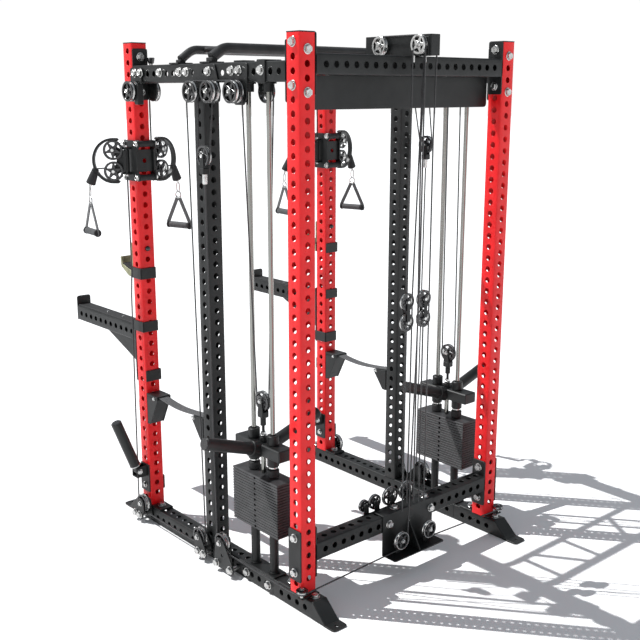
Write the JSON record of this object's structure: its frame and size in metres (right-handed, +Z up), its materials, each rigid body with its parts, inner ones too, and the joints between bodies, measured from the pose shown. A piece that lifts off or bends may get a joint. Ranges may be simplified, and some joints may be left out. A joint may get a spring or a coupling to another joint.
{
  "type": "power rack with cable trainers",
  "caption": "Free-standing power rack with two weight-stack cable trainers on sliding trolleys, cable handles, bar cups, spotter arms, safety straps, pull-up bars and a lat and low row station.",
  "frame": {"origin": "on the floor, at the plan centre of the bounding box", "axes": "+Z up, +X to the right and -Y to the front, seen by someone facing the cups and trolleys"},
  "size_m": [1.735, 1.99, 2.2648],
  "materials": {
    "red_powder_coat": "gloss powder coat",
    "black_powder_coat": "textured satin powder coat",
    "chrome": "polished",
    "stack_iron": "painted, satin",
    "pulley_plastic": "moulded nylon",
    "zinc": "olive zinc plate",
    "webbing": "woven nylon",
    "cable_sheath": "smooth sheath over steel rope"
  },
  "bodies": {
    "root": {"front_pull_up_bar": "black_powder_coat", "header_plate": "black_powder_coat", "lat_cable": "cable_sheath", "lat_pulley_box": "black_powder_coat", "left_base_rail": "black_powder_coat", "left_front_strap_bracket": "black_powder_coat", "left_front_upright": "red_powder_coat", "left_guide_rods": "chrome", "left_lower_cable": "cable_sheath", "left_middle_upright": "black_powder_coat", "left_rear_strap_bracket": "black_powder_coat", "left_rear_upright": "red_powder_coat", "left_safety_strap": "webbing", "left_top_beam": "black_powder_coat", "left_upper_cable": "cable_sheath", "left_weight_stack": "stack_iron", "low_row_bracket": "black_powder_coat", "rear_lower_crossmember": "black_powder_coat", "rear_pull_up_bar": "black_powder_coat", "rear_top_crossmember": "black_powder_coat", "right_base_rail": "black_powder_coat", "right_front_strap_bracket": "black_powder_coat", "right_front_upright": "red_powder_coat", "right_guide_rods": "chrome", "right_lower_cable": "cable_sheath", "right_middle_upright": "black_powder_coat", "right_rear_strap_bracket": "black_powder_coat", "right_rear_upright": "red_powder_coat", "right_safety_strap": "webbing", "right_top_beam": "black_powder_coat", "right_upper_cable": "cable_sheath", "right_weight_stack": "stack_iron"},
    "right_carriage": {"right_carriage": "black_powder_coat"},
    "right_lifting_pulley": {"right_lifting_pulley": "pulley_plastic"},
    "right_trolley": {"right_trolley": "black_powder_coat"},
    "right_arm_a": {"right_arm_a": "black_powder_coat"},
    "right_arm_a_upper_pulley": {"right_arm_a_upper_pulley": "pulley_plastic"},
    "right_arm_a_lower_pulley": {"right_arm_a_lower_pulley": "pulley_plastic"},
    "right_handle_a": {"right_handle_a": "webbing"},
    "right_arm_b": {"right_arm_b": "black_powder_coat"},
    "right_arm_b_upper_pulley": {"right_arm_b_upper_pulley": "pulley_plastic"},
    "right_arm_b_lower_pulley": {"right_arm_b_lower_pulley": "pulley_plastic"},
    "right_handle_b": {"right_handle_b": "webbing"},
    "right_j_cup": {"right_j_cup": "zinc"},
    "right_spotter_arm": {"right_spotter_arm": "black_powder_coat"},
    "right_plate_sleeve": {"right_plate_sleeve": "black_powder_coat"},
    "left_carriage": {"left_carriage": "black_powder_coat"},
    "left_lifting_pulley": {"left_lifting_pulley": "pulley_plastic"},
    "left_trolley": {"left_trolley": "black_powder_coat"},
    "left_arm_a": {"left_arm_a": "black_powder_coat"},
    "left_arm_a_upper_pulley": {"left_arm_a_upper_pulley": "pulley_plastic"},
    "left_arm_a_lower_pulley": {"left_arm_a_lower_pulley": "pulley_plastic"},
    "left_handle_a": {"left_handle_a": "webbing"},
    "left_arm_b": {"left_arm_b": "black_powder_coat"},
    "left_arm_b_upper_pulley": {"left_arm_b_upper_pulley": "pulley_plastic"},
    "left_arm_b_lower_pulley": {"left_arm_b_lower_pulley": "pulley_plastic"},
    "left_handle_b": {"left_handle_b": "webbing"},
    "left_j_cup": {"left_j_cup": "zinc"},
    "left_spotter_arm": {"left_spotter_arm": "black_powder_coat"},
    "left_plate_sleeve": {"left_plate_sleeve": "black_powder_coat"}
  },
  "joints": [
    {"name": "right_carriage_lift", "type": "slide", "parent": "root", "child": "right_carriage", "axis": [0, 0, 1], "range_m": [0, 1.1], "deforming": ["right_upper_cable"]},
    {"name": "right_lifting_pulley_spin", "type": "hinge", "parent": "right_carriage", "child": "right_lifting_pulley", "pos_m": [0.565, 0.516, 0.82], "axis": [1, 0, 0], "continuous": true},
    {"name": "right_trolley_height", "type": "slide", "parent": "root", "child": "right_trolley", "axis": [0, 0, 1], "range_m": [-0.25, 0.05], "deforming": ["right_lower_cable"]},
    {"name": "right_arm_a_swivel", "type": "hinge", "parent": "right_trolley", "child": "right_arm_a", "pos_m": [0.63, -0.375, 1.743], "axis": [0, 0, 1], "range_deg": [-10, 60]},
    {"name": "right_arm_a_upper_pulley_spin", "type": "hinge", "parent": "right_arm_a", "child": "right_arm_a_upper_pulley", "pos_m": [0.67528, -0.41436, 1.79], "axis": [0.6561, 0.7547, 0], "continuous": true},
    {"name": "right_arm_a_lower_pulley_spin", "type": "hinge", "parent": "right_arm_a", "child": "right_arm_a_lower_pulley", "pos_m": [0.67528, -0.41436, 1.696], "axis": [0.6561, 0.7547, 0], "continuous": true},
    {"name": "right_handle_a_swing", "type": "hinge", "parent": "right_arm_a", "child": "right_handle_a", "pos_m": [0.75981, -0.48784, 1.625], "axis": [0.6561, 0.7547, 0], "range_deg": [-45, 8]},
    {"name": "right_arm_b_swivel", "type": "hinge", "parent": "right_trolley", "child": "right_arm_b", "pos_m": [0.5, -0.375, 1.743], "axis": [0, 0, 1], "range_deg": [-60, 10]},
    {"name": "right_arm_b_upper_pulley_spin", "type": "hinge", "parent": "right_arm_b", "child": "right_arm_b_upper_pulley", "pos_m": [0.44218, -0.39103, 1.79], "axis": [0.2672, -0.9636, 0], "continuous": true},
    {"name": "right_arm_b_lower_pulley_spin", "type": "hinge", "parent": "right_arm_b", "child": "right_arm_b_lower_pulley", "pos_m": [0.44218, -0.39103, 1.696], "axis": [0.2672, -0.9636, 0], "continuous": true},
    {"name": "right_handle_b_swing", "type": "hinge", "parent": "right_arm_b", "child": "right_handle_b", "pos_m": [0.33426, -0.42096, 1.625], "axis": [0.2672, -0.9636, 0], "range_deg": [-45, 8]},
    {"name": "right_j_cup_height", "type": "slide", "parent": "root", "child": "right_j_cup", "axis": [0, 0, 1], "range_m": [-0.1, 0]},
    {"name": "right_spotter_arm_height", "type": "slide", "parent": "root", "child": "right_spotter_arm", "axis": [0, 0, 1], "range_m": [-0.05, 0.05]},
    {"name": "right_plate_sleeve_tilt", "type": "hinge", "parent": "root", "child": "right_plate_sleeve", "pos_m": [0.649, -0.375, 0.265], "axis": [0, 1, 0], "range_deg": [0, 60]},
    {"name": "left_carriage_lift", "type": "slide", "parent": "root", "child": "left_carriage", "axis": [0, 0, 1], "range_m": [0, 1.1], "deforming": ["left_upper_cable"]},
    {"name": "left_lifting_pulley_spin", "type": "hinge", "parent": "left_carriage", "child": "left_lifting_pulley", "pos_m": [-0.565, 0.516, 0.82], "axis": [1, 0, 0], "continuous": true},
    {"name": "left_trolley_height", "type": "slide", "parent": "root", "child": "left_trolley", "axis": [0, 0, 1], "range_m": [-0.25, 0.05], "deforming": ["left_lower_cable"]},
    {"name": "left_arm_a_swivel", "type": "hinge", "parent": "left_trolley", "child": "left_arm_a", "pos_m": [-0.5, -0.375, 1.743], "axis": [0, 0, 1], "range_deg": [-10, 60]},
    {"name": "left_arm_a_upper_pulley_spin", "type": "hinge", "parent": "left_arm_a", "child": "left_arm_a_upper_pulley", "pos_m": [-0.45472, -0.41436, 1.79], "axis": [0.6561, 0.7547, 0], "continuous": true},
    {"name": "left_arm_a_lower_pulley_spin", "type": "hinge", "parent": "left_arm_a", "child": "left_arm_a_lower_pulley", "pos_m": [-0.45472, -0.41436, 1.696], "axis": [0.6561, 0.7547, 0], "continuous": true},
    {"name": "left_handle_a_swing", "type": "hinge", "parent": "left_arm_a", "child": "left_handle_a", "pos_m": [-0.37019, -0.48784, 1.625], "axis": [0.6561, 0.7547, 0], "range_deg": [-45, 8]},
    {"name": "left_arm_b_swivel", "type": "hinge", "parent": "left_trolley", "child": "left_arm_b", "pos_m": [-0.63, -0.375, 1.743], "axis": [0, 0, 1], "range_deg": [-60, 10]},
    {"name": "left_arm_b_upper_pulley_spin", "type": "hinge", "parent": "left_arm_b", "child": "left_arm_b_upper_pulley", "pos_m": [-0.68782, -0.39103, 1.79], "axis": [0.2672, -0.9636, 0], "continuous": true},
    {"name": "left_arm_b_lower_pulley_spin", "type": "hinge", "parent": "left_arm_b", "child": "left_arm_b_lower_pulley", "pos_m": [-0.68782, -0.39103, 1.696], "axis": [0.2672, -0.9636, 0], "continuous": true},
    {"name": "left_handle_b_swing", "type": "hinge", "parent": "left_arm_b", "child": "left_handle_b", "pos_m": [-0.79574, -0.42096, 1.625], "axis": [0.2672, -0.9636, 0], "range_deg": [-45, 8]},
    {"name": "left_j_cup_height", "type": "slide", "parent": "root", "child": "left_j_cup", "axis": [0, 0, 1], "range_m": [-0.1, 0]},
    {"name": "left_spotter_arm_height", "type": "slide", "parent": "root", "child": "left_spotter_arm", "axis": [0, 0, 1], "range_m": [-0.05, 0.05]},
    {"name": "left_plate_sleeve_tilt", "type": "hinge", "parent": "root", "child": "left_plate_sleeve", "pos_m": [-0.481, -0.375, 0.265], "axis": [0, 1, 0], "range_deg": [0, 60]}
  ]
}
